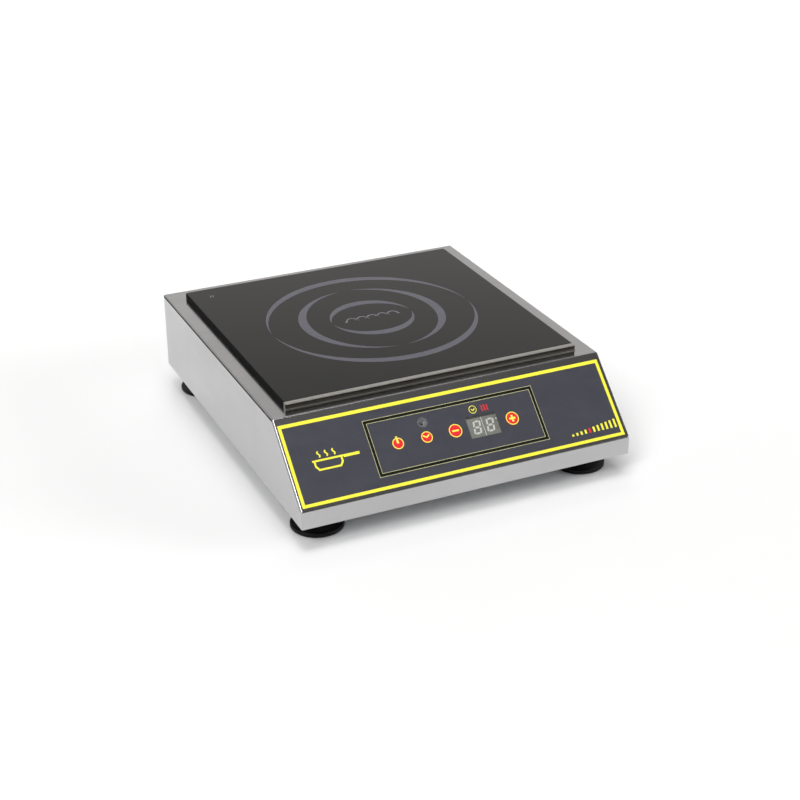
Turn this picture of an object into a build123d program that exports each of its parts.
from build123d import *
import os
from math import atan2, cos, degrees, hypot, radians, sin, tan

# Counter-top induction hob, single zone. Millimetres, +Z up, +Y to the rear, standing on z = 0.

# Envelope
WIDTH = 325.0
DEPTH = 370.0
HEIGHT = 105.0
FOOT_GAP = 22.5
GLAND_PROUD = 20.0
SHEET = 1.0

# Housing profile
LIP_HEIGHT = 17.0
SLOPE_DEPTH = 63.0
GLASS_PROUD = 6.0
BEND_RADIUS = 2.4
EDGE_RADIUS = 1.4
SEAM_INSET = 1.3
SEAM_WIDTH = 0.8
SEAM_DEPTH = 0.45
FLANGE = 12.0

# Glass, its seal and the trim in front of it
GLASS_WIDTH = 289.2
GLASS_FRONT = 79.8
GLASS_REAR = 351.6
GLASS_THICK = 4.0
GLASS_CORNER = 2.0
SEAL_SIDE = 0.6
SEAL_TOP_GAP = 0.7
SEAL_LEDGE = 11.0
TRIM_DEPTH = 5.2
TRIM_GROOVE = 1.1
TRIM_LIP = 0.7

# Control panel, measured on the slope: x across, s down from the top bend
OVERLAY_WIDTH = 318.7
OVERLAY_SHIFT = -0.8
OVERLAY_TOP = 6.8
OVERLAY_BOTTOM_GAP = 3.2
OVERLAY_THICK = 0.4
KEY_ROW = 45.1
KEYS = {
    "key_power": (-58.4, 5.5),
    "key_timer": (-30.4, 5.5),
    "key_minus": (-2.2, 6.45),
    "key_plus": (55.1, 6.45),
}
KEY_PROUD = 0.7
KEY_FLANGE = 1.2
KEY_CLEARANCE = 0.1
PLUNGER_RADIUS = 1.75
DISPLAY_CENTRE = (26.0, 45.4)
DISPLAY_SIZE = (30.8, 20.6)
DISPLAY_DEPTH = 1.0
DIGIT_CENTRE = (26.45, 46.0)
DIGIT_SIZE = (7.6, 13.0)
DIGIT_PITCH = 13.2
DIGIT_SLANT = 9.0
SEGMENT_WIDTH = 1.7
SEGMENT_GAP = 0.35
SEGMENT_THICK = 0.3
DOT_CENTRE = (40.3, 41.2)
DOT_RADIUS = 0.75
LED_CENTRE = (-30.1, 30.8)
LED_RADIUS = 5.0
LED_LENS_RADIUS = 1.45
LED_DISH_RADIUS = 5.15
LED_DISH_DEPTH = 3.5
ICON_LEDS = ((20.6, 28.7), (32.2, 28.7))
BOARD_BEHIND = 9.0
PCB_THICK = 1.6
CONTROL_BOARD_SIZE = (172.0, 56.0)
CONTROL_BOARD_DOWN = 43.0
CONTROL_POSTS = [(x, down) for x in (-80, 80) for down in (20, 66)]
RIBBON_X = 30.0
RIBBON_DOWN = 62.0
HEADER_TALL = 6.0

# Feet
FOOT_RADIUS = 24.2
FOOT_RIM = 4.5
FOOT_HUB = 11.0
FOOT_SOCKET = 5.0
FOOT_X = 133.0
FOOT_FRONT = 39.2
FOOT_REAR = 344.0
STEM_RADIUS = 4.0
STEM_CLEARANCE = 0.05
STEM_TOP = 42.0

# Coil under the glass
COIL_INNER = 22.0
COIL_HALF_TURNS = 33
COIL_PITCH = 4.6
LITZ_WIDTH = 3.8
LITZ_HEIGHT = 4.0
SHEET_MICA = 1.0
FORMER_THICK = 3.5
FERRITE_THICK = 5.5
SUPPORT_THICK = 2.0
SUPPORT_SIZE = (112.0, 106.0)
LEG_X = 141.0
LEG_Y = 100.0
LEG_WIDTH = 12.0
PROBE_RADIUS = 8.0
PROBE_CLEARANCE = 0.08
PROBE_SEAT = 13.0
PROBE_SLEEVE = 9.0
PROBE_DEPTH = 11.0
PROBE_FLOOR = 2.0
PROBE_ROOF = 1.5

# Fan
FAN_SIZE = 92.0
FAN_HEIGHT = 25.0
FAN_X = -80.0
FAN_FROM_FRONT = 232.0
FAN_BORE = 43.5
FAN_HUB = 18.0
FAN_BLADES = 7
SHAFT_RADIUS = 1.5

# Power board
BOARD_X = (-24.0, 130.0)
BOARD_Y = (105.0, 325.0)
STANDOFF = 8.0
SINK_X = (-18.0, 54.0)
SINK_Y = (190.0, 274.0)
SINK_LIFT = 7.0
SINK_PLATE = 5.0
SINK_HEIGHT = 34.0
SINK_FINS = 13
FIN_THICK = 2.0
TRANSISTOR_X = (-2.0, 20.0)
LEG_THICK = 0.8
LEG_HALF = 0.6
FILM_CAPACITORS = (
    (84, 205, 42, 22, 34),
    (84, 235, 42, 22, 34),
    (88, 268, 32, 14, 25),
    (88, 290, 27, 12, 20),
)
ROUND_CAPACITORS = ((0, 150, 5, 16), (14, 150, 5, 16), (28, 148, 6.3, 20))
CHOKE = (92.0, 160.0)
CHOKE_RING = 14.0
CHOKE_SECTION = 5.5

# Cable gland at the rear
GLAND_X = 80.0
GLAND_Z = 55.0
GLAND_BORE = 4.5
GLAND_THREAD = 8.0
GLAND_FLATS = 22.0
GLAND_COLLAR = 5.0

# Mains terminals on the base plate
BLOCK_X = (62.0, 98.0)
BLOCK_Y = (334.0, 352.0)
BLOCK_TALL = 16.0
EARTH_X = 30.0
EARTH_FROM_FRONT = 348.0
EARTH_RADIUS = 2.5
LEAD_RADIUS = 1.6

# Case fasteners
SCREW_RADIUS = 1.5

# Derived levels
FRONT = -(DEPTH + GLAND_PROUD) / 2
REAR = FRONT + DEPTH
BASE = FOOT_GAP
FLOOR = BASE + SHEET
TOP = HEIGHT - GLASS_PROUD
GLASS_UNDER = HEIGHT - GLASS_THICK
LIP_TOP = BASE + LIP_HEIGHT
SLOPE_LENGTH = hypot(SLOPE_DEPTH, TOP - LIP_TOP)
SLOPE_ANGLE = degrees(atan2(TOP - LIP_TOP, SLOPE_DEPTH))
COIL_TOP = GLASS_UNDER - SHEET_MICA
FORMER_TOP = COIL_TOP - LITZ_HEIGHT
FERRITE_TOP = FORMER_TOP - FORMER_THICK
SUPPORT_TOP = FERRITE_TOP - FERRITE_THICK
COIL_Y = FRONT + (GLASS_FRONT + GLASS_REAR) / 2
FAN_Y = FRONT + FAN_FROM_FRONT
BOARD_UNDER = FLOOR + STANDOFF
BOARD_TOP = BOARD_UNDER + PCB_THICK
BOARD_POSTS = [(x, FRONT + y) for x in (-18, 124) for y in (111, 319)]
CONTROL_UNDER = -BOARD_BEHIND - PCB_THICK
SUPPORT_UNDER = SUPPORT_TOP - SUPPORT_THICK
PROBE_BOTTOM = SUPPORT_UNDER - PROBE_SLEEVE
COIL_RIM = COIL_INNER + COIL_HALF_TURNS * COIL_PITCH / 2 + 6
SINK_BASE = BOARD_TOP + SINK_LIFT
CHOKE_HEIGHT = BOARD_TOP + CHOKE_SECTION + 2
EARTH_STUD = (EARTH_X, FRONT + EARTH_FROM_FRONT)
BASE_SCREWS = [
    (side * (WIDTH / 2 - SHEET - FLANGE / 2), FRONT + y)
    for side in (-1, 1)
    for y in (75, 185, 300)
]
BASE_SCREWS += [(x, FRONT + 8) for x in (-80, 80)]
REAR_SCREWS = [(side * 156, z) for side in (-1, 1) for z in (BASE + 16, TOP - 14)]
REAR_SCREWS += [(x, TOP - 6) for x in (-70, 70)]
FEET = {
    "front_left": (-FOOT_X, FRONT + FOOT_FRONT),
    "front_right": (FOOT_X, FRONT + FOOT_FRONT),
    "rear_left": (-FOOT_X, FRONT + FOOT_REAR),
    "rear_right": (FOOT_X, FRONT + FOOT_REAR),
}

# The slope's outer face: x across, y up the slope, z out of it, from the slope's middle.
SLOPE = Plane(
    origin=(0, FRONT + SLOPE_DEPTH / 2, (TOP + LIP_TOP) / 2),
    x_dir=(1, 0, 0),
    z_dir=(0, -sin(radians(SLOPE_ANGLE)), cos(radians(SLOPE_ANGLE))),
)


def save(node, *pieces):
    """Write one node, with every separate piece as its own solid."""
    solids = [solid for piece in pieces for solid in piece.solids()]
    shape = solids[0] if len(solids) == 1 else Compound(children=solids)
    export_step(shape, f"parts/{node}.step")


def block(x, y, z):
    """A box between a low and a high value on each axis."""
    centre = [(low + high) / 2 for low, high in (x, y, z)]
    return Pos(*centre) * Box(x[1] - x[0], y[1] - y[0], z[1] - z[0])


def post(x, y, low, high, radius):
    """An upright cylinder."""
    return Pos(x, y, (low + high) / 2) * Cylinder(radius, high - low)


def hexagon(x, y, low, high, flats):
    """An upright hexagonal prism, by its width across flats."""
    face = RegularPolygon(flats / 2, 6, major_radius=False)
    return Pos(x, y, low) * extrude(face, high - low)


def turned(points):
    """A solid of revolution about the Z axis, from (radius, height) points."""
    outline = make_face(Plane.XZ * Polyline(*points, close=True))
    return revolve(outline, Axis.Z)


def on_slope(x, down, out=0.0):
    """A place on the slope: x across, down from the top bend, out of its face."""
    return SLOPE.location * Pos(x, SLOPE_LENGTH / 2 - down, out)


def slope_block(x, down, size, low, high):
    """A box standing on the slope between two heights above its face."""
    return on_slope(x, down, (low + high) / 2) * Box(size[0], size[1], high - low)


def slope_post(x, down, low, high, radius):
    """A cylinder square to the slope between two heights above its face."""
    return on_slope(x, down, (low + high) / 2) * Cylinder(radius, high - low)


def lead(points, radius, bend):
    """A round lead along straight runs joined by arcs."""
    path = FilletPolyline(*points, radius=bend)
    section = Plane(origin=path @ 0, z_dir=path % 0) * Circle(radius)
    return sweep(section, path=path)


def slots(count, pitch, length, width, height):
    """A row of round-ended slots along X, each one running along Y."""
    slot = extrude(Rot(0, 0, 90) * SlotOverall(length, width), height / 2, both=True)
    start = -(count - 1) / 2 * pitch
    return [Pos(start + i * pitch, 0, 0) * slot for i in range(count)]


# Outer case


def profile(inset, bottom, rear):
    """The case's outline seen from the side, moved in from the outer faces."""
    tilt = radians(SLOPE_ANGLE)
    top_shift = inset * (1 - cos(tilt)) / sin(tilt)
    lip_shift = inset * (1 - sin(tilt)) / cos(tilt)
    corners = (
        (FRONT + inset, bottom),
        (FRONT + inset, LIP_TOP - lip_shift),
        (FRONT + SLOPE_DEPTH + top_shift, TOP - inset),
        (rear, TOP - inset),
        (rear, bottom),
    )
    return make_face(Plane.YZ * Polyline(*corners, close=True))


def case_solid(inset, bottom, rear):
    """The solid inside the case's outline, with its bends and side edges rounded."""
    solid = extrude(profile(inset, bottom, rear), WIDTH / 2 - inset, both=True)
    bends = [
        edge
        for edge in solid.edges().filter_by(Axis.X)
        if edge.center().Z > bottom + 1 and edge.center().Y < rear - 1
    ]
    solid = fillet(bends, BEND_RADIUS - inset)
    faces = solid.faces().filter_by(Axis.X)
    rims = [
        edge
        for face in faces
        for edge in face.edges()
        if edge.center().Z > bottom + 1 and edge.center().Y < rear - 1
    ]
    return fillet(rims, EDGE_RADIUS - inset)


def seams():
    """Shallow grooves in both side walls, just under the edges of the top and slope."""
    band = profile(SEAM_INSET, BASE, REAR + 1)
    band -= profile(SEAM_INSET + SEAM_WIDTH, BASE - 1, REAR + 2)
    reach = WIDTH / 2 - SEAM_DEPTH
    length = (FRONT - 1, REAR + 2)
    grooves = extrude(band, WIDTH / 2 + 1, both=True)
    grooves &= block((-WIDTH, WIDTH), length, (LIP_TOP, TOP))
    return grooves - block((-reach, reach), length, (BASE, HEIGHT))


def panel_openings():
    """What is cut through the slope for the keys, the display and the lamps."""
    cuts = [slope_post(x, KEY_ROW, -5, 5, r + KEY_CLEARANCE) for x, r in KEYS.values()]
    cuts.append(slope_block(*DISPLAY_CENTRE, DISPLAY_SIZE, -5, 5))
    cuts.append(slope_post(*LED_CENTRE, -5, 5, LED_RADIUS))
    return cuts


def screw(radius, length, head_radius, head_height):
    """A pan-head screw along -Z from the origin, with its head above."""
    head = Cylinder(head_radius, head_height, align=(Align.CENTER, Align.CENTER, Align.MIN))
    head = fillet(head.edges().sort_by(Axis.Z)[-1], head_height * 0.6)
    for angle in (0, 90):
        recess = Rot(0, 0, angle) * Box(head_radius * 1.1, head_radius * 0.28, head_height)
        head -= Pos(0, 0, head_height) * recess
    shank = Cylinder(radius, length, align=(Align.CENTER, Align.CENTER, Align.MAX))
    return head + shank


def housing():
    """Folded stainless cover: top, sides, slope and lip, open below and behind."""
    shell = case_solid(0, BASE, REAR) - case_solid(SHEET, BASE - 5, REAR + 5)
    inner_x = WIDTH / 2 - SHEET
    low = FLOOR
    high = FLOOR + SHEET
    for side in (-1, 1):
        edge = sorted((side * (inner_x + SHEET / 2), side * (inner_x - FLANGE)))
        shell += block(edge, (FRONT + SHEET / 2, REAR - 2 * SHEET), (low, high))
        shell += block(edge, (REAR - 2 * SHEET, REAR - SHEET), (low, TOP - SHEET / 2))
    shell += block((-inner_x, inner_x), (FRONT + SHEET / 2, FRONT + FLANGE), (low, high))
    top_flange = (TOP - FLANGE, TOP - SHEET / 2)
    shell += block((-inner_x, inner_x), (REAR - 2 * SHEET, REAR - SHEET), top_flange)
    opening = (GLASS_WIDTH / 2 - SEAL_LEDGE, GLASS_FRONT + SEAL_LEDGE, GLASS_REAR - SEAL_LEDGE)
    hole = block(
        (-opening[0], opening[0]),
        (FRONT + opening[1], FRONT + opening[2]),
        (TOP - 5, TOP + 5),
    )
    shell -= fillet(hole.edges().filter_by(Axis.Z), 8)
    shell -= seams()
    for cut in panel_openings():
        shell -= cut
    for x, y in BASE_SCREWS:
        shell -= post(x, y, BASE - 1, high + 1, SCREW_RADIUS)
    for x, z in REAR_SCREWS:
        shell -= Pos(x, REAR, z) * Rot(90, 0, 0) * Cylinder(SCREW_RADIUS, 10)
    return shell


def rear_panel():
    """Flat rear wall with its exhaust slots, gland hole and foot flange."""
    half = WIDTH / 2 - SHEET - 0.2
    low = BASE + 0.2
    wall = block((-half, half), (REAR - SHEET, REAR), (low, TOP - SHEET - 0.2))
    upper_corners = wall.edges().filter_by(Axis.Y).group_by(Axis.Z)[-1]
    wall = fillet(upper_corners, EDGE_RADIUS)
    flange_half = WIDTH / 2 - SHEET - FLANGE - 2
    flange = (REAR - FLANGE, REAR - SHEET)
    wall += block((-flange_half, flange_half), flange, (FLOOR, FLOOR + SHEET))
    upright = Pos(0, REAR, (BASE + TOP) / 2) * Rot(90, 0, 0)
    for slot in slots(18, 7, 34, 3, 10):
        wall -= upright * Pos(-55, 2, 0) * slot
    gland_hole = Cylinder(GLAND_THREAD + 0.05, 10)
    wall -= Pos(GLAND_X, REAR, GLAND_Z) * Rot(90, 0, 0) * gland_hole
    for x, z in REAR_SCREWS:
        wall -= Pos(x, REAR, z) * Rot(90, 0, 0) * Cylinder(SCREW_RADIUS, 10)
    return wall


def base_plate():
    """Flat bottom with the fan's inlet slots and holes for feet and screws."""
    half = WIDTH / 2 - SHEET - 0.2
    plate = block((-half, half), (FRONT + SHEET + 0.2, REAR - SHEET - 0.2), (BASE, FLOOR))
    plate = fillet(plate.edges().filter_by(Axis.Z), EDGE_RADIUS)
    for slot in slots(9, 9, 70, 4, 10):
        plate -= Pos(FAN_X, FAN_Y, BASE) * slot
    for slot in slots(12, 9, 30, 4, 10):
        plate -= Pos(55, FRONT + 80, BASE) * slot
    for x, y in FEET.values():
        plate -= post(x, y, BASE - 1, FLOOR + 1, STEM_RADIUS + STEM_CLEARANCE)
    for x, y in BASE_SCREWS:
        plate -= post(x, y, BASE - 1, FLOOR + 1, SCREW_RADIUS)
    plate -= post(*EARTH_STUD, BASE - 1, FLOOR + 1, EARTH_RADIUS)
    return plate


def case_screws():
    """Screws that hold the base plate and the rear panel on the flanges."""
    fastener = screw(SCREW_RADIUS, 7, 3.1, 1.8)
    pieces = [Pos(x, y, BASE) * Rot(180, 0, 0) * fastener for x, y in BASE_SCREWS]
    return pieces + [Pos(x, REAR, z) * Rot(-90, 0, 0) * fastener for x, z in REAR_SCREWS]


# Glass top


def glass_plate():
    """Ceramic glass with rounded corners and a small bevel round its top edge."""
    half = GLASS_WIDTH / 2
    y = (FRONT + GLASS_FRONT, FRONT + GLASS_REAR)
    plate = block((-half, half), y, (GLASS_UNDER, HEIGHT))
    plate = fillet(plate.edges().filter_by(Axis.Z), GLASS_CORNER)
    return chamfer(plate.faces().sort_by(Axis.Z)[-1].edges(), 0.4)


def glass_seal():
    """Black silicone under the glass's rim and up its sides and rear."""
    out = GLASS_WIDTH / 2 + SEAL_SIDE
    inner = GLASS_WIDTH / 2 - SEAL_LEDGE
    front = FRONT + GLASS_FRONT
    rear = FRONT + GLASS_REAR
    ring = block((-out, out), (front, rear + SEAL_SIDE), (TOP, HEIGHT - SEAL_TOP_GAP))
    corner_edges = ring.edges().filter_by(Axis.Z).sort_by(Axis.Y)[-2:]
    ring = fillet(corner_edges, GLASS_CORNER + SEAL_SIDE)
    room = (front + SEAL_LEDGE, rear - SEAL_LEDGE)
    ring -= block((-inner, inner), room, (TOP - 1, HEIGHT))
    half = GLASS_WIDTH / 2
    pocket = block((-half, half), (front - 5, rear), (GLASS_UNDER, HEIGHT + 1))
    pocket_edges = pocket.edges().filter_by(Axis.Z).sort_by(Axis.Y)[-2:]
    return ring - fillet(pocket_edges, GLASS_CORNER)


def front_trim():
    """Metal guard bar along the glass's front edge, its front face hollowed."""
    half = GLASS_WIDTH / 2 + SEAL_SIDE
    rear = FRONT + GLASS_FRONT
    front = rear - TRIM_DEPTH
    bar = block((-half, half), (front, rear), (TOP, HEIGHT))
    height = HEIGHT - TOP - 2 * TRIM_LIP
    radius = (height * height / 4 + TRIM_GROOVE**2) / (2 * TRIM_GROOVE)
    groove = Cylinder(radius, WIDTH)
    centre = (0, front + TRIM_GROOVE - radius, (TOP + HEIGHT) / 2)
    bar -= Pos(*centre) * Rot(0, 90, 0) * groove
    top_edges = bar.faces().sort_by(Axis.Z)[-1].edges().filter_by(Axis.X)
    return fillet(top_edges, 0.3)


# Control panel


def control_overlay():
    """Printed film on the slope, cut out for the keys, display and lamp."""
    length = SLOPE_LENGTH - OVERLAY_TOP - OVERLAY_BOTTOM_GAP
    middle = OVERLAY_TOP + length / 2
    film = slope_block(OVERLAY_SHIFT, middle, (OVERLAY_WIDTH, length), 0, OVERLAY_THICK)
    for cut in panel_openings():
        film -= cut
    return film


def key(x, radius):
    """A key: cap through the film and sheet, stop flange behind it, plunger below."""
    cap = slope_post(x, KEY_ROW, -SHEET, KEY_PROUD, radius)
    rim = cap.edges().filter_by(GeomType.CIRCLE).sort_by(Axis(SLOPE.origin, SLOPE.z_dir))[-1]
    cap = fillet(rim, 0.25)
    cap += slope_post(x, KEY_ROW, -SHEET - KEY_FLANGE, -SHEET, radius + KEY_FLANGE)
    return cap + slope_post(x, KEY_ROW, -BOARD_BEHIND + 2, -SHEET - 1, PLUNGER_RADIUS)


def key_switches():
    """Switch bodies on the control board, each with a well for its key's plunger."""
    bodies = []
    for x, _ in KEYS.values():
        body = slope_block(x, KEY_ROW, (6.2, 6.2), -BOARD_BEHIND, -BOARD_BEHIND + 3.6)
        well = PLUNGER_RADIUS + KEY_CLEARANCE
        body -= slope_post(x, KEY_ROW, -BOARD_BEHIND + 1, -BOARD_BEHIND + 5, well)
        bodies.append(body)
    return bodies


def display_window():
    """Clear window that fills the display's opening."""
    size = [side - 0.1 for side in DISPLAY_SIZE]
    return slope_block(*DISPLAY_CENTRE, size, -0.6, OVERLAY_THICK)


def display_module():
    """Two-digit display block on the control board."""
    size = [side - 0.4 for side in DISPLAY_SIZE]
    return slope_block(*DISPLAY_CENTRE, size, -BOARD_BEHIND, -DISPLAY_DEPTH)


def segment(centre, width, height):
    """One bar of a digit: its ends lean with the digit, its flat sides don't."""
    lean = tan(radians(DIGIT_SLANT))
    corners = []
    for x, y in ((-1, -1), (1, -1), (1, 1), (-1, 1)):
        level = centre[1] + y * height / 2
        corners.append((centre[0] + x * width / 2 + lean * level, level))
    return extrude(make_face(Polyline(*corners, close=True)), SEGMENT_THICK)


def display_segments():
    """Seven leaning bars for each digit and one dot, on the display block's face."""
    across, tall = DIGIT_SIZE
    inset = SEGMENT_WIDTH / 2
    bar = across - 2 * SEGMENT_WIDTH - 2 * SEGMENT_GAP
    upright = tall / 2 - inset - 2 * SEGMENT_GAP
    bars = [segment((0, row * (tall / 2 - inset)), bar, SEGMENT_WIDTH) for row in (-1, 0, 1)]
    for side in (-1, 1):
        for row in (-1, 1):
            centre = (side * (across / 2 - inset), row * tall / 4)
            bars.append(segment(centre, SEGMENT_WIDTH, upright))
    pieces = []
    for side in (-0.5, 0.5):
        x = DIGIT_CENTRE[0] + side * DIGIT_PITCH
        pieces += [on_slope(x, DIGIT_CENTRE[1], -DISPLAY_DEPTH) * piece for piece in bars]
    face = -DISPLAY_DEPTH
    return [*pieces, slope_post(*DOT_CENTRE, face, face + SEGMENT_THICK, DOT_RADIUS)]


def led_bezel():
    """Round grey bezel with a hollow dish round the standby lamp."""
    face = OVERLAY_THICK + 0.2
    bezel = slope_post(*LED_CENTRE, -4, face, LED_RADIUS - 0.05)
    centre = face - LED_DISH_DEPTH + LED_DISH_RADIUS
    bezel -= on_slope(*LED_CENTRE, centre) * Sphere(LED_DISH_RADIUS)
    return bezel - slope_post(*LED_CENTRE, -5, 1, LED_LENS_RADIUS + 0.05)


def led_lens():
    """Lamp that stands on the control board and shows in the bezel's dish."""
    top = -2.4
    stem = slope_post(*LED_CENTRE, -BOARD_BEHIND, top, LED_LENS_RADIUS)
    return stem + on_slope(*LED_CENTRE, top) * Sphere(LED_LENS_RADIUS)


def control_board():
    """Board behind the slope, on four stand-offs."""
    board = slope_block(0, CONTROL_BOARD_DOWN, CONTROL_BOARD_SIZE, CONTROL_UNDER, -BOARD_BEHIND)
    for x, down in CONTROL_POSTS:
        board -= slope_post(x, down, CONTROL_UNDER - 1, -BOARD_BEHIND + 1, SCREW_RADIUS)
    return board


def board_standoffs():
    """Pillars under the power board and behind the slope, with their fasteners."""
    pieces = []
    for x, y in BOARD_POSTS:
        pillar = post(x, y, FLOOR, BOARD_UNDER, 3.5)
        pieces.append(pillar - post(x, y, FLOOR + 2, BOARD_TOP, SCREW_RADIUS))
        pieces.append(Pos(x, y, BOARD_TOP) * screw(SCREW_RADIUS, 6, 3, 1.8))
    nut = extrude(RegularPolygon(2.75, 6, major_radius=False), 2.4)
    for x, down in CONTROL_POSTS:
        pieces.append(slope_post(x, down, -BOARD_BEHIND, -SHEET, 3))
        stud = slope_post(x, down, CONTROL_UNDER - 3.4, -BOARD_BEHIND, SCREW_RADIUS)
        pieces.append(on_slope(x, down, CONTROL_UNDER - 2.4) * nut + stud)
    return pieces


def control_chips():
    """Controller chip, icon lamps and the ribbon header on the control board."""
    pieces = [slope_block(-20, 50, (12, 12), CONTROL_UNDER - 1.6, CONTROL_UNDER)]
    pieces.append(
        slope_block(RIBBON_X, RIBBON_DOWN, (16, 7), CONTROL_UNDER - HEADER_TALL, CONTROL_UNDER)
    )
    for x, down in ICON_LEDS:
        pieces.append(slope_post(x, down, -BOARD_BEHIND, -SHEET - 1.5, 1.5))
    return pieces


# Feet


def foot_pad(x, y):
    """Black plastic foot: wide rim, cone and a hub that stops against the base."""
    points = (
        (0, 0),
        (FOOT_RADIUS - 1.2, 0),
        (FOOT_RADIUS, 1.2),
        (FOOT_RADIUS, FOOT_RIM - 0.6),
        (FOOT_RADIUS - 0.6, FOOT_RIM),
        (FOOT_RADIUS - 4, FOOT_RIM),
        (FOOT_HUB + 1.5, FOOT_RIM + 4.5),
        (FOOT_HUB, FOOT_RIM + 7),
        (FOOT_HUB, BASE),
        (STEM_RADIUS, BASE),
        (STEM_RADIUS, FOOT_SOCKET),
        (0, FOOT_SOCKET),
    )
    return Pos(x, y, 0) * turned(points)


def foot_stem(x, y):
    """Threaded stud fixed in the foot."""
    stem = post(x, y, FOOT_SOCKET, STEM_TOP, STEM_RADIUS)
    return chamfer(stem.edges().sort_by(Axis.Z)[-1], 0.8)


def foot_nuts():
    """Nuts fixed on the base plate that the feet screw into."""
    nuts = []
    for x, y in FEET.values():
        nut = hexagon(x, y, FLOOR, FLOOR + 6.5, 13)
        nuts.append(nut - post(x, y, FLOOR - 1, FLOOR + 8, STEM_RADIUS + STEM_CLEARANCE))
    return nuts


# Cable gland


def gland_place(out):
    """A place on the gland's axis, out from the rear wall, its Z pointing out."""
    return Pos(GLAND_X, REAR + out, GLAND_Z) * Rot(-90, 0, 0)


def gland_ring(low, high, radius, bore):
    """A ring on the gland's axis between two distances from the rear wall."""
    ring = Cylinder(radius, high - low) - Cylinder(bore, high - low + 1)
    return gland_place((low + high) / 2) * ring


def cable_gland():
    """Gland body: hexagon outside the wall, threaded tube through it."""
    collar = extrude(RegularPolygon(GLAND_FLATS / 2, 6, major_radius=False), GLAND_COLLAR)
    body = gland_place(0) * collar
    body += gland_ring(-12, 0, GLAND_THREAD, GLAND_BORE)
    body += gland_ring(GLAND_COLLAR, GLAND_COLLAR + 5, GLAND_THREAD, GLAND_BORE)
    return body - gland_place(0) * Cylinder(GLAND_BORE, 60)


def gland_nut():
    """Domed clamping nut with a grip of ten flutes."""
    rise = GLAND_PROUD - GLAND_COLLAR
    points = (
        (GLAND_BORE, rise),
        (GLAND_BORE, 5),
        (GLAND_THREAD, 5),
        (GLAND_THREAD, 0),
        (11, 0),
        (11, 8),
        (9.4, 12.5),
        (7, rise),
    )
    nut = turned(points)
    flutes = 10
    for i in range(flutes):
        nut -= Rot(0, 0, i * 360 / flutes) * Pos(11.6, 0, 4) * Cylinder(1.2, 10)
    return gland_place(GLAND_COLLAR) * nut


def gland_locknut():
    """Thin nut that holds the gland from inside the wall."""
    thick = 4
    nut = extrude(RegularPolygon(GLAND_FLATS / 2, 6, major_radius=False), thick)
    nut -= Cylinder(GLAND_THREAD, 20)
    return gland_place(-SHEET - thick) * nut


# Coil


def spiral_face(width):
    """A flat spiral band made of half-turns, each a little larger than the last."""
    sides = []
    for sign in (-1, 1):
        arcs = []
        for i in range(COIL_HALF_TURNS):
            radius = COIL_INNER + i * COIL_PITCH / 2 + sign * width / 2
            centre = (COIL_PITCH / 2 * (i % 2), 0)
            start = 180 * (i % 2)
            arcs.append(CenterArc(centre, radius, start, 180))
        sides.append(arcs)
    inner, outer = sides
    caps = [Line(inner[0] @ 0, outer[0] @ 0), Line(inner[-1] @ 1, outer[-1] @ 1)]
    return make_face(Wire([*[e.edge() for e in inner + outer + caps]]))


def coil_winding():
    """Flat spiral of stranded copper."""
    return Pos(0, COIL_Y, FORMER_TOP) * extrude(spiral_face(LITZ_WIDTH), LITZ_HEIGHT)


def coil_former():
    """Plastic disc that carries the coil, with a raised rim and centre ring."""
    disc = post(0, COIL_Y, FERRITE_TOP, FORMER_TOP, COIL_RIM)
    edge = post(0, COIL_Y, FORMER_TOP, COIL_TOP, COIL_RIM)
    edge -= post(0, COIL_Y, 0, HEIGHT, COIL_RIM - 2)
    ring = post(0, COIL_Y, FORMER_TOP, COIL_TOP, COIL_INNER - 5)
    centre = post(0, COIL_Y, 0, HEIGHT, PROBE_SEAT)
    return disc + edge + ring - centre


def ferrite_bars():
    """Radial ferrite bars glued under the former."""
    count = 8
    bar = Pos(62, 0, -FERRITE_THICK / 2) * Box(64, 16, FERRITE_THICK)
    middle = Pos(0, COIL_Y, FERRITE_TOP)
    return [middle * Rot(0, 0, 360 / count * (i + 0.5)) * bar for i in range(count)]


def insulation_sheet():
    """Mica disc between the coil and the glass."""
    disc = post(0, COIL_Y, COIL_TOP, GLASS_UNDER, COIL_RIM)
    return disc - post(0, COIL_Y, 0, HEIGHT, PROBE_SEAT)


def coil_support():
    """Aluminium plate under the ferrites on four bent legs."""
    half_x, half_y = SUPPORT_SIZE
    y = (COIL_Y - half_y, COIL_Y + half_y)
    plate = block((-half_x, half_x), y, (SUPPORT_UNDER, SUPPORT_TOP))
    plate = fillet(plate.edges().filter_by(Axis.Z), 12)
    outer = LEG_X + SUPPORT_THICK
    for side_x in (-1, 1):
        for side_y in (-1, 1):
            middle = COIL_Y + side_y * LEG_Y
            y = (middle - LEG_WIDTH / 2, middle + LEG_WIDTH / 2)
            arm = sorted((side_x * (half_x - 12), side_x * outer))
            plate += block(arm, y, (SUPPORT_UNDER, SUPPORT_TOP))
            leg = sorted((side_x * LEG_X, side_x * outer))
            plate += block(leg, y, (FLOOR, SUPPORT_TOP))
            tab = sorted((side_x * (LEG_X - 10), side_x * outer))
            plate += block(tab, y, (FLOOR, FLOOR + SUPPORT_THICK))
    return plate - post(0, COIL_Y, 0, HEIGHT, PROBE_SEAT)


def probe_holder():
    """Sleeve through the coil's centre that guides the temperature probe."""
    bore = PROBE_RADIUS + PROBE_CLEARANCE
    sleeve = post(0, COIL_Y, PROBE_BOTTOM, FORMER_TOP, PROBE_SEAT - 0.05)
    sleeve += post(0, COIL_Y, PROBE_BOTTOM, SUPPORT_UNDER, PROBE_SEAT + 4)
    sleeve -= post(0, COIL_Y, PROBE_BOTTOM + PROBE_FLOOR, HEIGHT, bore)
    return sleeve - post(0, COIL_Y, PROBE_BOTTOM - 1, PROBE_BOTTOM + PROBE_FLOOR + 1, 3)


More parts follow.
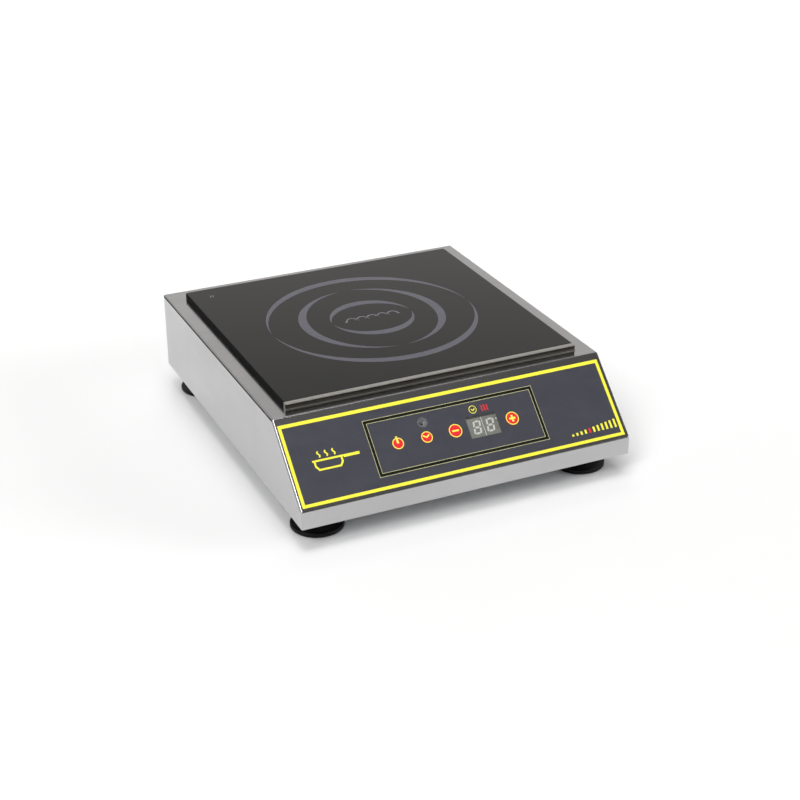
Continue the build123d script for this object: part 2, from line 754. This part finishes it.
def probe_cap():
    """Metal cup with the sensor, pushed up against the glass."""
    low = GLASS_UNDER - PROBE_DEPTH
    cup = post(0, COIL_Y, low, GLASS_UNDER, PROBE_RADIUS)
    return cup - post(0, COIL_Y, low - 1, GLASS_UNDER - PROBE_ROOF, PROBE_RADIUS - 1.2)


def probe_spring():
    """Coil spring under the probe."""
    wire = 0.4
    turns = 6
    low = PROBE_BOTTOM + PROBE_FLOOR + wire
    height = GLASS_UNDER - PROBE_ROOF - wire - low
    helix = Helix(pitch=height / turns, height=height, radius=5.5)
    section = Plane(origin=helix @ 0, z_dir=helix % 0) * Circle(wire)
    return Pos(0, COIL_Y, low) * sweep(section, path=helix, is_frenet=True)


# Fan


def fan_frame():
    """Square frame with a round duct and three struts to the motor."""
    frame = extrude(RectangleRounded(FAN_SIZE, FAN_SIZE, 5), FAN_HEIGHT)
    frame -= Pos(0, 0, FAN_HEIGHT / 2) * Cylinder(FAN_BORE, FAN_HEIGHT + 2)
    for x in (-1, 1):
        for y in (-1, 1):
            frame -= Pos(x * 41.2, y * 41.2, FAN_HEIGHT / 2) * Cylinder(2.2, FAN_HEIGHT + 2)
    for i in range(4):
        strut = Rot(0, 0, 20 + 90 * i) * Pos((FAN_BORE + 15) / 2 + 1, 0, 1.25)
        frame += strut * Box(FAN_BORE - 14, 3, 2.5)
    return Pos(FAN_X, FAN_Y, FLOOR) * frame


def fan_motor():
    """Motor base with its bearing tube, and the stator stack round the tube."""
    points = (
        (SHAFT_RADIUS + 0.05, 1),
        (SHAFT_RADIUS + 0.05, 18),
        (4, 18),
        (4, 3.5),
        (15, 3.5),
        (15, 0),
        (0, 0),
        (0, 1),
    )
    stack = Cylinder(13, 8) - Cylinder(4, 10)
    for i in range(4):
        stack -= Rot(0, 0, 45 + 90 * i) * Pos(11, 0, 0) * Box(8, 2.5, 10)
    place = Pos(FAN_X, FAN_Y, FLOOR)
    return [place * turned(points), place * Pos(0, 0, 10) * stack]


def fan_impeller():
    """Cup-shaped hub on its shaft, with pitched blades."""
    cup = turned(
        (
            (0, 22),
            (FAN_HUB - 1.5, 22),
            (FAN_HUB, 20.5),
            (FAN_HUB, 5.5),
            (FAN_HUB - 2, 5.5),
            (FAN_HUB - 2, 20),
            (SHAFT_RADIUS, 20),
            (SHAFT_RADIUS, 2),
            (0, 2),
        )
    )
    reach = FAN_BORE - 1.5 - FAN_HUB
    ring = Pos(0, 0, 13) * (Cylinder(FAN_BORE - 1.5, 16) - Cylinder(FAN_HUB - 0.8, 20))
    for i in range(FAN_BLADES):
        blade = Pos(FAN_HUB + reach / 2, 0, 13) * Rot(38, 0, 0) * Box(reach + 6, 30, 1.6)
        cup += ring & (Rot(0, 0, 360 / FAN_BLADES * i) * blade)
    return Pos(FAN_X, FAN_Y, FLOOR) * cup


def air_duct():
    """Hood over the fan that turns the air towards the heat sink."""
    half = FAN_SIZE / 2 + 1
    low = FLOOR + FAN_HEIGHT
    high = SUPPORT_UNDER - 12
    wall = 1.6
    x = (FAN_X - half, FAN_X + half)
    y = (FAN_Y - half, FAN_Y + half)
    hood = block(x, y, (low, high))
    hood = fillet(hood.edges().filter_by(Axis.Z), 4)
    room_x = (x[0] + wall, x[1] + 5)
    hood -= block(room_x, (y[0] + wall, y[1] - wall), (low - 1, high - wall))
    return hood


# Power electronics


def power_board():
    """Main circuit board."""
    y = (FRONT + BOARD_Y[0], FRONT + BOARD_Y[1])
    board = block(BOARD_X, y, (BOARD_UNDER, BOARD_TOP))
    for x, place in BOARD_POSTS:
        board -= post(x, place, FLOOR, BOARD_TOP + 1, SCREW_RADIUS)
    return board


def heat_sink():
    """Finned aluminium sink; its fins run with the air from the fan."""
    y = (FRONT + SINK_Y[0], FRONT + SINK_Y[1])
    sink = block(SINK_X, y, (SINK_BASE, SINK_BASE + SINK_PLATE))
    pitch = (y[1] - y[0] - FIN_THICK) / (SINK_FINS - 1)
    for i in range(SINK_FINS):
        low = y[0] + i * pitch
        sink += block(SINK_X, (low, low + FIN_THICK), (SINK_BASE, SINK_BASE + SINK_HEIGHT))
    for edge in (y[0], y[1] - 4):
        sink += block(SINK_X, (edge, edge + 4), (BOARD_TOP, SINK_BASE + 1))
    return sink


def transistor(x):
    """A transistor's flat body with three legs bent down into the board."""
    y = FRONT + 205
    body = block((x - 8, x + 8), (y, y + 21), (SINK_BASE - 5, SINK_BASE))
    bend = SINK_BASE - 2.6
    for offset in (-5.4, 0, 5.4):
        width = (x + offset - LEG_HALF, x + offset + LEG_HALF)
        body += block(width, (y - 3, y), (bend - LEG_THICK, bend))
        body += block(width, (y - 3, y - 2), (BOARD_TOP, bend))
    return body


def rectifier():
    """The bridge rectifier's body with four straight legs."""
    y = FRONT + 240
    body = block((28, 52), (y, y + 22), (SINK_BASE - 5, SINK_BASE))
    for x in (31, 37, 43, 49):
        body += block((x - LEG_HALF, x + LEG_HALF), (y + 4, y + 5), (BOARD_TOP, SINK_BASE - 4))
    return body


def power_semiconductors():
    """Two transistors and a bridge rectifier pressed up under the heat sink."""
    return [*(transistor(x) for x in TRANSISTOR_X), rectifier()]


def capacitors():
    """Boxed resonant, bus and filter capacitors, and the supply's round ones."""
    pieces = []
    for x, y, long, wide, tall in FILM_CAPACITORS:
        y_range = (FRONT + y - wide / 2, FRONT + y + wide / 2)
        case = block((x - long / 2, x + long / 2), y_range, (BOARD_TOP, BOARD_TOP + tall))
        pieces.append(fillet(case.edges().filter_by(Axis.Z), 1))
    for x, y, radius, tall in ROUND_CAPACITORS:
        can = post(x, FRONT + y, BOARD_TOP, BOARD_TOP + tall, radius)
        pieces.append(fillet(can.edges().sort_by(Axis.Z)[-1], 0.8))
    return pieces


def choke_core():
    """Ferrite ring of the mains filter choke, lying on the board."""
    return Pos(CHOKE[0], FRONT + CHOKE[1], CHOKE_HEIGHT) * Torus(CHOKE_RING, CHOKE_SECTION)


def choke_windings():
    """Turns of copper wire round both halves of the choke's ring."""
    middle = Pos(CHOKE[0], FRONT + CHOKE[1], CHOKE_HEIGHT)
    turn = Pos(CHOKE_RING, 0, 0) * Rot(90, 0, 0) * Torus(CHOKE_SECTION + 0.9, 0.75)
    turns = 7
    step = 16
    first = -step * (turns - 1) / 2
    angles = [side + first + step * i for side in (0, 180) for i in range(turns)]
    return [middle * Rot(0, 0, angle) * turn for angle in angles]


def aux_transformer():
    """Small supply transformer: core, bobbin and winding block."""
    y = FRONT + 178
    core = block((2, 26), (y - 3, y + 3), (BOARD_TOP + 2, BOARD_TOP + 22))
    core += block((-2, 30), (y - 8, y + 8), (BOARD_TOP, BOARD_TOP + 3))
    return core + block((5, 23), (y - 8, y + 8), (BOARD_TOP + 5, BOARD_TOP + 19))


def board_connectors():
    """Plug headers on the power board: mains, coil, ribbon and fan."""
    y = FRONT
    return [
        block((92, 118), (y + 308, y + 318), (BOARD_TOP, BOARD_TOP + 11)),
        block((62, 70), (y + 250, y + 262), (BOARD_TOP, BOARD_TOP + 9)),
        block((62, 70), (y + 270, y + 282), (BOARD_TOP, BOARD_TOP + 9)),
        block((RIBBON_X - 9, RIBBON_X + 9), (y + 108, y + 116), (BOARD_TOP, BOARD_TOP + 8)),
        block((-20, -12), (y + 296, y + 306), (BOARD_TOP, BOARD_TOP + 8)),
    ]


def fuse():
    """Glass-tube mains fuse in its two clips."""
    y = FRONT + 306
    z = BOARD_TOP + 6
    tube = Pos(70, y, z) * Rot(0, 90, 0) * Cylinder(2.5, 20)
    clips = []
    for x in (61, 79):
        clip = block((x - 2.5, x + 2.5), (y - 3.5, y + 3.5), (BOARD_TOP, z + 1))
        clips.append(clip - Pos(x, y, z) * Rot(0, 90, 0) * Cylinder(2.5, 6))
    return [tube, *clips]


# Wiring that stays inside the case


def terminal_block():
    """Three-pole mains terminal block on the base plate, with its clamping screws."""
    y = (FRONT + BLOCK_Y[0], FRONT + BLOCK_Y[1])
    middle = (y[0] + y[1]) / 2
    body = block(BLOCK_X, y, (FLOOR, FLOOR + BLOCK_TALL))
    poles = 3
    pitch = (BLOCK_X[1] - BLOCK_X[0]) / poles
    screws = []
    for i in range(poles):
        x = BLOCK_X[0] + pitch * (i + 0.5)
        body -= post(x, middle, FLOOR + 9, FLOOR + BLOCK_TALL + 4, 2.6)
        body -= Pos(x, y[0], FLOOR + 6) * Rot(90, 0, 0) * Cylinder(2.2, 10)
        cut = block((x - 3, x + 3), (middle - 0.4, middle + 0.4), (FLOOR + 12.4, FLOOR + 14))
        screws.append(post(x, middle, FLOOR + 9, FLOOR + 13.2, 2.5) - cut)
    return [body, *screws]


def earth_stud():
    """Earth stud pressed into the base plate, with its nut."""
    x, y = EARTH_STUD
    stud = post(x, y, BASE, FLOOR + 14, EARTH_RADIUS)
    nut = hexagon(x, y, FLOOR + 3, FLOOR + 7, 8) - post(x, y, FLOOR, FLOOR + 14, EARTH_RADIUS)
    return [stud, nut]


def mains_leads():
    """Live and neutral leads to the board, and the earth lead to its stud."""
    pole = FLOOR + 6
    inside = FRONT + BLOCK_Y[0] + 4
    turn = FRONT + BLOCK_Y[0] - 4.5
    over = BOARD_TOP + 17
    header = (FRONT + 313, BOARD_TOP + 11)
    pieces = []
    for x, end_x in ((80, 98), (92, 110)):
        points = (
            (x, inside, pole),
            (x, turn, pole),
            (end_x, turn, over),
            (end_x, header[0], over),
            (end_x, *header),
        )
        pieces.append(lead(points, LEAD_RADIUS, 3))
    x, y = EARTH_STUD
    eye = (FLOOR + 7, FLOOR + 8.2)
    eye_z = FLOOR + 7.6
    points = (
        (68, inside, pole),
        (68, turn, pole),
        (50, turn - 1, eye_z),
        (x, turn, eye_z),
        (x, y - 8, eye_z),
    )
    ring = post(x, y, *eye, 4.5) - post(x, y, FLOOR, FLOOR + 20, EARTH_RADIUS)
    ring += block((x - LEAD_RADIUS, x + LEAD_RADIUS), (y - 8, y - 3.2), eye)
    return [*pieces, lead(points, LEAD_RADIUS, 4), ring]


def coil_leads():
    """Sleeved ends of the coil, down to the board."""
    pieces = []
    for x, y in ((66, 256), (66, 276)):
        points = (
            (x, FRONT + y, BOARD_TOP + 9),
            (x, FRONT + y, SUPPORT_UNDER - 7),
            (x + 50, FRONT + y, SUPPORT_UNDER - 4.5),
            (x + 58, FRONT + y, SUPPORT_TOP + 3),
            (x + 46, FRONT + y, FERRITE_TOP - 2.2),
        )
        pieces.append(lead(points, 2, 3.5))
    return pieces


def ribbon_cable():
    """Flat cable from the control board's header to the power board."""
    under = CONTROL_UNDER - HEADER_TALL
    start, turn = (on_slope(RIBBON_X, RIBBON_DOWN, under - out).position for out in (0.1, 13))
    points = (
        (start.Y, start.Z),
        (turn.Y, turn.Z),
        (FRONT + 88, BOARD_TOP + 4),
        (FRONT + 96, BOARD_TOP + 18),
        (FRONT + 112, BOARD_TOP + 18),
        (FRONT + 112, BOARD_TOP + 8),
    )
    band = trace(FilletPolyline(*points, radius=4), 0.9)
    return Pos(RIBBON_X, 0, 0) * extrude(Plane.YZ * band, 7, both=True)


def fan_lead():
    """Twin lead from the fan's motor to the board."""
    pieces = []
    for shift in (0, 1.5):
        points = (
            (-16 + shift, FRONT + 301, BOARD_TOP + 8),
            (-16 + shift, FRONT + 301, BOARD_TOP + 14),
            (-44 + shift, FRONT + 292, BOARD_TOP + 10),
            (-56 + shift, FRONT + 289, FLOOR + 3),
            (-56 + shift, FRONT + 281, FLOOR + 3),
        )
        pieces.append(lead(points, 0.7, 2.5))
    return pieces


os.makedirs("parts", exist_ok=True)

save("housing", housing())
save("rear_panel", rear_panel())
save("base_plate", base_plate())
save("case_screws", *case_screws())
save("glass_plate", glass_plate())
save("glass_seal", glass_seal())
save("front_trim", front_trim())
save("control_overlay", control_overlay())
for name, (key_x, key_radius) in KEYS.items():
    save(name, key(key_x, key_radius))
save("key_switches", *key_switches())
save("display_window", display_window())
save("display_module", display_module())
save("display_segments", *display_segments())
save("led_bezel", led_bezel())
save("led_lens", led_lens())
save("control_board", control_board())
save("control_chips", *control_chips())
for corner, place in FEET.items():
    save(f"foot_pad_{corner}", foot_pad(*place))
    save(f"foot_stem_{corner}", foot_stem(*place))
save("foot_nuts", *foot_nuts())
save("cable_gland", cable_gland())
save("gland_nut", gland_nut())
save("gland_locknut", gland_locknut())
save("coil_winding", coil_winding())
save("coil_former", coil_former())
save("ferrite_bars", *ferrite_bars())
save("insulation_sheet", insulation_sheet())
save("coil_support", coil_support())
save("probe_holder", probe_holder())
save("probe_cap", probe_cap())
save("probe_spring", probe_spring())
save("fan_frame", fan_frame())
save("fan_motor", *fan_motor())
save("fan_impeller", fan_impeller())
save("air_duct", air_duct())
save("power_board", power_board())
save("board_standoffs", *board_standoffs())
save("heat_sink", heat_sink())
save("power_semiconductors", *power_semiconductors())
save("capacitors", *capacitors())
save("choke_core", choke_core())
save("choke_windings", *choke_windings())
save("aux_transformer", aux_transformer())
save("board_connectors", *board_connectors())
save("fuse", *fuse())
save("terminal_block", *terminal_block())
save("earth_stud", *earth_stud())
save("mains_leads", *mains_leads())
save("coil_leads", *coil_leads())
save("ribbon_cable", ribbon_cable())
save("fan_lead", *fan_lead())
